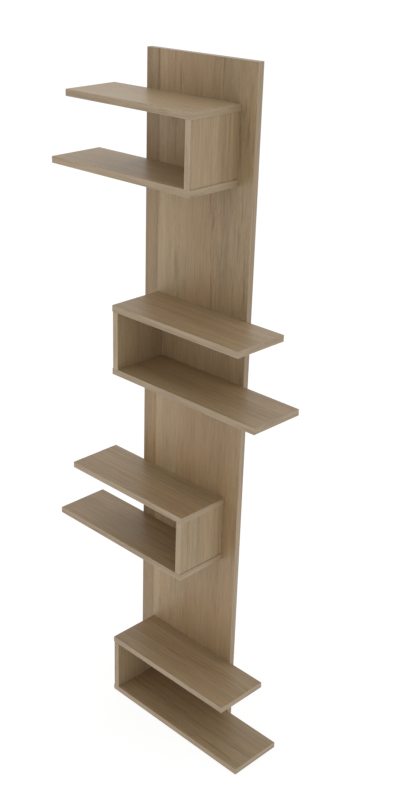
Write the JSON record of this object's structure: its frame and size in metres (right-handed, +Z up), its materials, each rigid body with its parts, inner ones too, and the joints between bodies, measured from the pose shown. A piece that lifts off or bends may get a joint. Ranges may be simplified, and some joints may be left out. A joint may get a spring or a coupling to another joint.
{
  "type": "spine bookshelf",
  "caption": "Tall spine panel with C-shaped shelf units that run out to alternate sides, for books and ornaments, standing on the floor against a wall.",
  "frame": {"origin": "on the floor, in the middle of the overall width and depth", "axes": "+X to the right of someone who faces the shelf, +Y towards the wall, +Z up along the spine"},
  "size_m": [0.749, 0.185, 1.903],
  "materials": {
    "laminated_board": "matt grey-brown oak-grain laminate on chipboard",
    "wood_edging": "wood-grain edging strip, rounded corners",
    "connector_steel": "zinc-plated",
    "dowel_beech": "fluted beech",
    "hanger_steel": "stamped, zinc-plated",
    "glide_plastic": "moulded brown plastic",
    "nail_steel": "bright wire"
  },
  "bodies": {
    "root": {"bottom_lower_shelf": "laminated_board", "bottom_lower_shelf_free_end_edging": "wood_edging", "bottom_lower_shelf_front_edging": "wood_edging", "bottom_lower_shelf_inner_end_edging": "wood_edging", "bottom_lower_shelf_rear_edging": "wood_edging", "bottom_upper_shelf": "laminated_board", "bottom_upper_shelf_free_end_edging": "wood_edging", "bottom_upper_shelf_front_edging": "wood_edging", "bottom_upper_shelf_inner_end_edging": "wood_edging", "bottom_upper_shelf_rear_edging": "wood_edging", "bottom_upright": "laminated_board", "bottom_upright_front_edging": "wood_edging", "connector_screws": "connector_steel", "dowels": "dowel_beech", "floor_glides": "glide_plastic", "glide_nails": "nail_steel", "hanger_plates": "hanger_steel", "hanger_screws": "hanger_steel", "lower_middle_lower_shelf": "laminated_board", "lower_middle_lower_shelf_free_end_edging": "wood_edging", "lower_middle_lower_shelf_front_edging": "wood_edging", "lower_middle_lower_shelf_inner_end_edging": "wood_edging", "lower_middle_lower_shelf_rear_edging": "wood_edging", "lower_middle_upper_shelf": "laminated_board", "lower_middle_upper_shelf_free_end_edging": "wood_edging", "lower_middle_upper_shelf_front_edging": "wood_edging", "lower_middle_upper_shelf_inner_end_edging": "wood_edging", "lower_middle_upper_shelf_rear_edging": "wood_edging", "lower_middle_upright": "laminated_board", "lower_middle_upright_front_edging": "wood_edging", "spine_bottom_edging": "wood_edging", "spine_left_edging": "wood_edging", "spine_panel": "laminated_board", "spine_right_edging": "wood_edging", "spine_top_edging": "wood_edging", "top_lower_shelf": "laminated_board", "top_lower_shelf_free_end_edging": "wood_edging", "top_lower_shelf_front_edging": "wood_edging", "top_lower_shelf_inner_end_edging": "wood_edging", "top_lower_shelf_rear_edging": "wood_edging", "top_upper_shelf": "laminated_board", "top_upper_shelf_free_end_edging": "wood_edging", "top_upper_shelf_front_edging": "wood_edging", "top_upper_shelf_inner_end_edging": "wood_edging", "top_upper_shelf_rear_edging": "wood_edging", "top_upright": "laminated_board", "top_upright_front_edging": "wood_edging", "upper_middle_lower_shelf": "laminated_board", "upper_middle_lower_shelf_free_end_edging": "wood_edging", "upper_middle_lower_shelf_front_edging": "wood_edging", "upper_middle_lower_shelf_inner_end_edging": "wood_edging", "upper_middle_lower_shelf_rear_edging": "wood_edging", "upper_middle_upper_shelf": "laminated_board", "upper_middle_upper_shelf_free_end_edging": "wood_edging", "upper_middle_upper_shelf_front_edging": "wood_edging", "upper_middle_upper_shelf_inner_end_edging": "wood_edging", "upper_middle_upper_shelf_rear_edging": "wood_edging", "upper_middle_upright": "laminated_board", "upper_middle_upright_front_edging": "wood_edging"}
  },
  "joints": []
}
